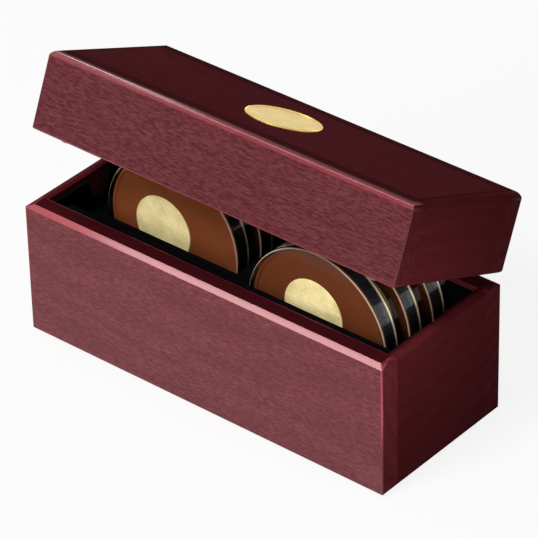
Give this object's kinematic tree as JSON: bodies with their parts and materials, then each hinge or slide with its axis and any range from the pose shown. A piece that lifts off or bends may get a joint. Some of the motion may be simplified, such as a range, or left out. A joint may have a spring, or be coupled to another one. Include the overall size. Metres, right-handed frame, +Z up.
{
  "type": "hinged coin display box",
  "caption": "Hinged wooden presentation box, lid part open, holding round coins in clear capsules on edge in a black rack.",
  "frame": {"origin": "centre of the underside of the base, on the felt", "axes": "+X to the right along the box, +Y to the hinged back, +Z up"},
  "size_m": [0.122, 0.0579, 0.0824],
  "materials": {
    "stained_wood": "dark red mahogany stain under satin lacquer, fine open pores along the grain",
    "black_flock": "short black flock over board",
    "black_velvet": "black velvet lining",
    "black_felt": "black felt",
    "hinge_brass": "polished brass plate",
    "medallion_brass": "satin gilt face with a brighter raised rim",
    "bumper_rubber": "translucent soft bumper",
    "clear_plastic": "clear polished acrylic",
    "coin_bronze": "brown bronze face with a worn gold rim",
    "coin_gold": "pale gold, plain"
  },
  "bodies": {
    "base": {"base_front_panel": "stained_wood", "base_back_panel": "stained_wood", "base_left_panel": "stained_wood", "base_right_panel": "stained_wood", "base_floor_panel": "stained_wood", "base_felt_pad": "black_felt", "rack_front_ledge": "black_flock", "rack_back_wall": "black_flock", "rack_left_end": "black_flock", "rack_right_end": "black_flock", "rack_front_cradle": "black_flock", "rack_middle_cradle": "black_flock", "rack_rear_cradle": "black_flock", "rack_front_divider": "black_flock", "rack_rear_divider": "black_flock", "left_hinge_base_leaf": "hinge_brass", "right_hinge_base_leaf": "hinge_brass", "left_hinge_pin": "hinge_brass", "right_hinge_pin": "hinge_brass", "base_hinge_screws": "hinge_brass"},
    "lid": {"lid_top_panel": "stained_wood", "lid_front_rail": "stained_wood", "lid_back_rail": "stained_wood", "lid_left_rail": "stained_wood", "lid_right_rail": "stained_wood", "lid_lining": "black_velvet", "lid_medallion": "medallion_brass", "lid_bumpers": "bumper_rubber", "left_hinge_lid_leaf": "hinge_brass", "right_hinge_lid_leaf": "hinge_brass", "lid_hinge_screws": "hinge_brass"},
    "capsule_right_front": {"right_front_capsule_cover": "clear_plastic", "right_front_capsule_back": "clear_plastic", "right_front_coin_ring": "coin_bronze", "right_front_coin_core": "coin_gold"},
    "capsule_right_middle": {"right_middle_capsule_cover": "clear_plastic", "right_middle_capsule_back": "clear_plastic", "right_middle_coin_ring": "coin_bronze", "right_middle_coin_core": "coin_gold"},
    "capsule_right_rear": {"right_rear_capsule_cover": "clear_plastic", "right_rear_capsule_back": "clear_plastic", "right_rear_coin_ring": "coin_bronze", "right_rear_coin_core": "coin_gold"},
    "capsule_left_middle": {"left_middle_capsule_cover": "clear_plastic", "left_middle_capsule_back": "clear_plastic", "left_middle_coin_ring": "coin_bronze", "left_middle_coin_core": "coin_gold"},
    "capsule_left_rear": {"left_rear_capsule_cover": "clear_plastic", "left_rear_capsule_back": "clear_plastic", "left_rear_coin_ring": "coin_bronze", "left_rear_coin_core": "coin_gold"}
  },
  "joints": [
    {"name": "lid_hinge", "type": "hinge", "parent": "base", "child": "lid", "pos_m": [0, 0.02775, 0.04138], "axis": [-1, 0, 0], "range_deg": [-23.3, 76.7]},
    {"name": "right_front_capsule_turn", "type": "hinge", "parent": "base", "child": "capsule_right_front", "pos_m": [0.029, -0.0079, 0.0324], "axis": [0, 1, 0], "continuous": true},
    {"name": "right_middle_capsule_turn", "type": "hinge", "parent": "base", "child": "capsule_right_middle", "pos_m": [0.029, 0.0019, 0.0324], "axis": [0, 1, 0], "continuous": true},
    {"name": "right_rear_capsule_turn", "type": "hinge", "parent": "base", "child": "capsule_right_rear", "pos_m": [0.029, 0.0117, 0.0324], "axis": [0, 1, 0], "continuous": true},
    {"name": "left_middle_capsule_turn", "type": "hinge", "parent": "base", "child": "capsule_left_middle", "pos_m": [-0.029, 0.0019, 0.0324], "axis": [0, 1, 0], "continuous": true},
    {"name": "left_rear_capsule_turn", "type": "hinge", "parent": "base", "child": "capsule_left_rear", "pos_m": [-0.029, 0.0117, 0.0324], "axis": [0, 1, 0], "continuous": true}
  ]
}
